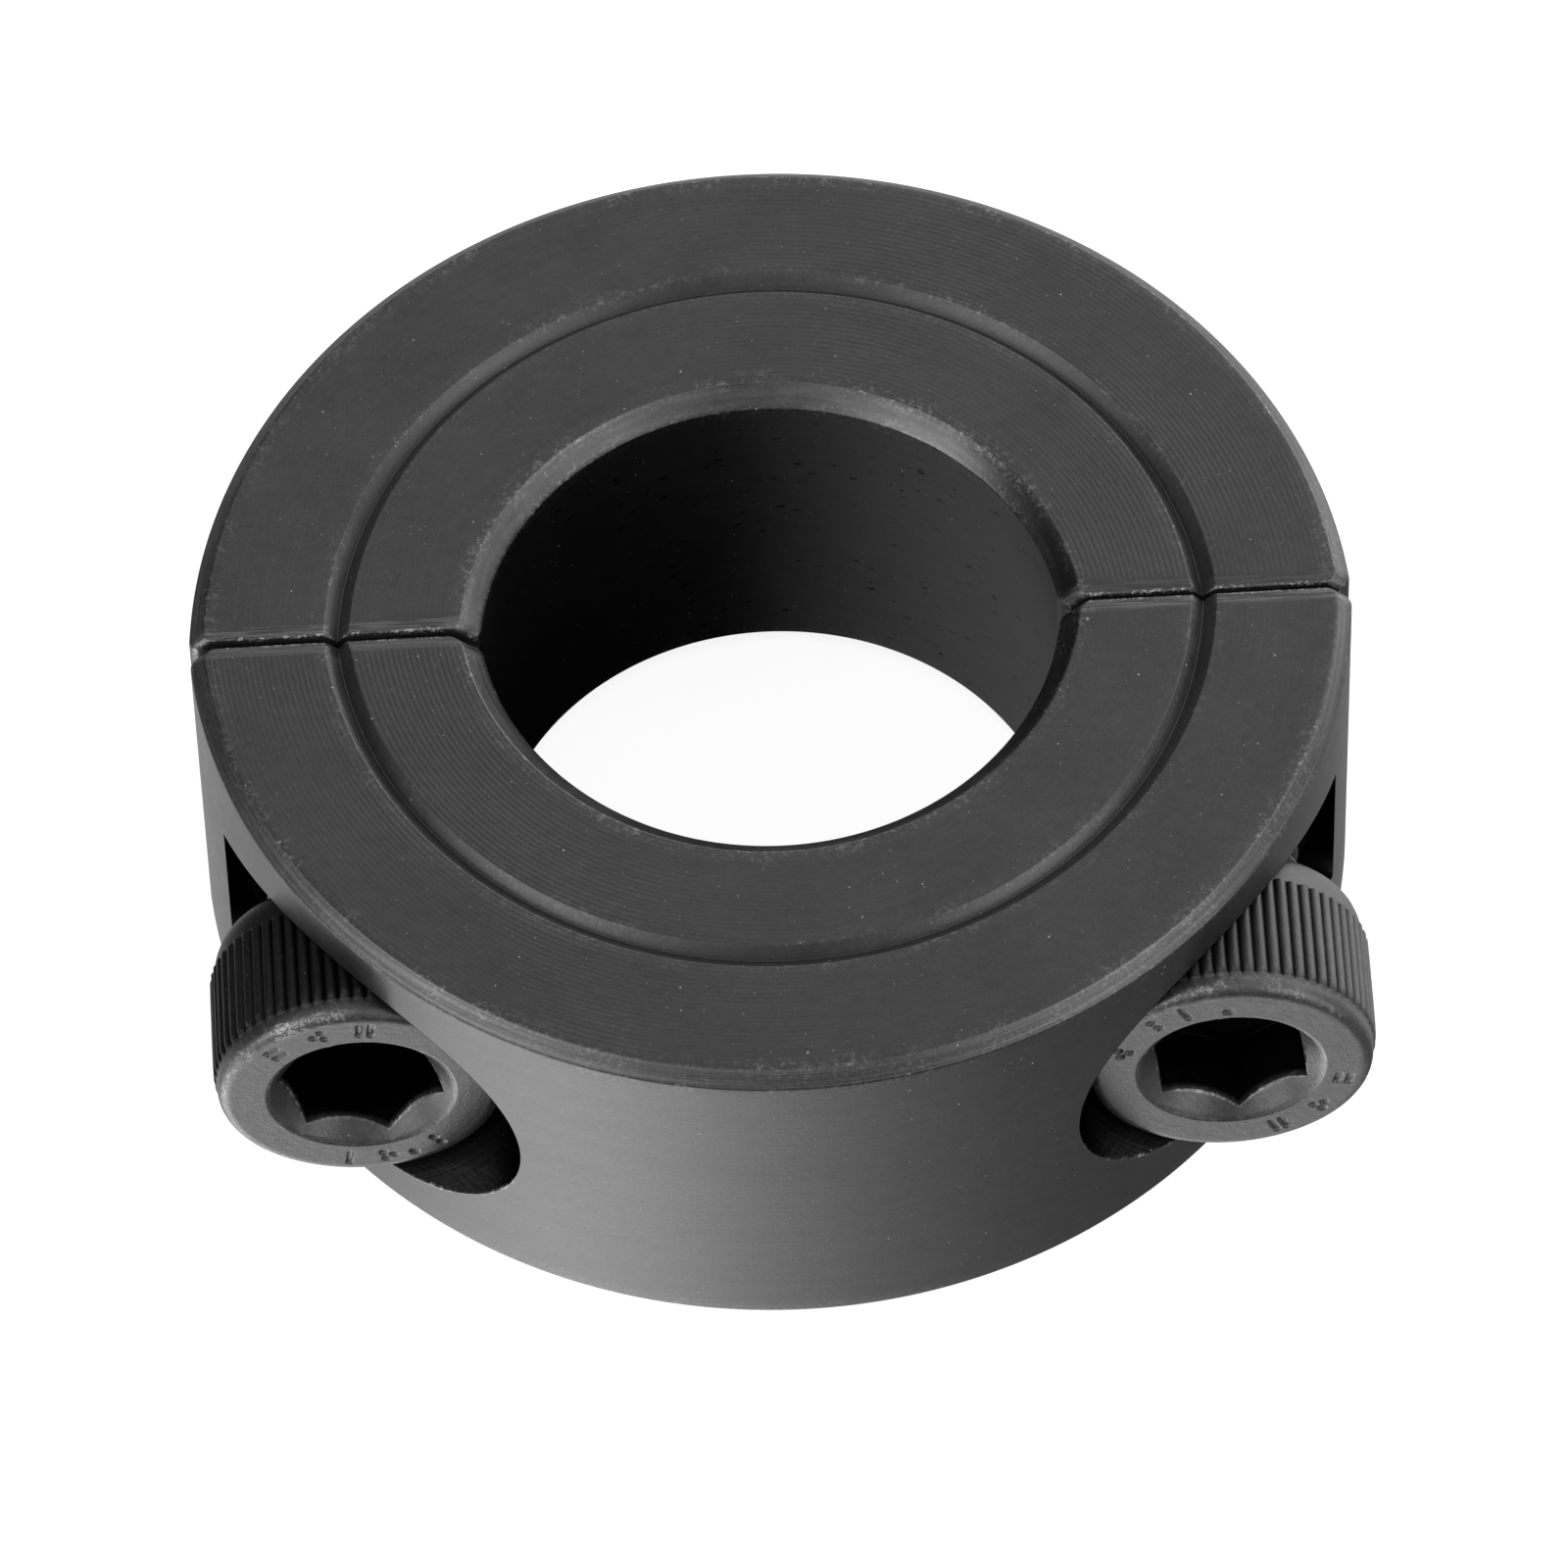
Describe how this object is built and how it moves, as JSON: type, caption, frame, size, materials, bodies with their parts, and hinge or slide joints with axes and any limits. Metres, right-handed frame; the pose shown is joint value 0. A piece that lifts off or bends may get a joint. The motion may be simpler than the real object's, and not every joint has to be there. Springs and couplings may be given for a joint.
{
  "type": "split clamping shaft collar",
  "caption": "Split clamping shaft collar in halves, with a chamfered bore, a turned line on one face and socket head clamp screws in counterbores.",
  "frame": {"origin": "centre of the collar on its lower face, on the split plane between the two halves", "axes": "+Z along the shaft, towards the face with the turned line; the split plane is y = 0; the screw heads face -Y, and +X is to the right seen from the screw heads"},
  "size_m": [0.04, 0.0382, 0.015],
  "materials": {
    "collar_black_oxide": "black oxide over turned steel, lightly oiled, fine concentric tool marks",
    "screw_black_oxide": "black oxide over forged and rolled alloy steel, knurled head"
  },
  "bodies": {
    "rear_half": {"rear_collar_half": "collar_black_oxide"},
    "front_half": {"front_collar_half": "collar_black_oxide"},
    "left_screw": {"left_clamp_screw": "screw_black_oxide"},
    "right_screw": {"right_clamp_screw": "screw_black_oxide"}
  },
  "joints": [
    {"name": "halves_opening", "type": "slide", "parent": "rear_half", "child": "front_half", "axis": [0, -1, 0], "range_m": [0, 0.007]},
    {"name": "left_screw_turn", "type": "hinge", "parent": "front_half", "child": "left_screw", "pos_m": [-0.01485, -0.008, 0.0075], "axis": [0, -1, 0], "range_deg": [0, 2520.5]},
    {"name": "right_screw_turn", "type": "hinge", "parent": "front_half", "child": "right_screw", "pos_m": [0.01485, -0.009, 0.0075], "axis": [0, -1, 0], "range_deg": [0, 2520.5]}
  ],
  "couplings": [
    {"joint": "left_screw_turn", "follows": "halves_opening", "rad_per_m": 6283.2},
    {"joint": "right_screw_turn", "follows": "halves_opening", "rad_per_m": 6283.2}
  ]
}
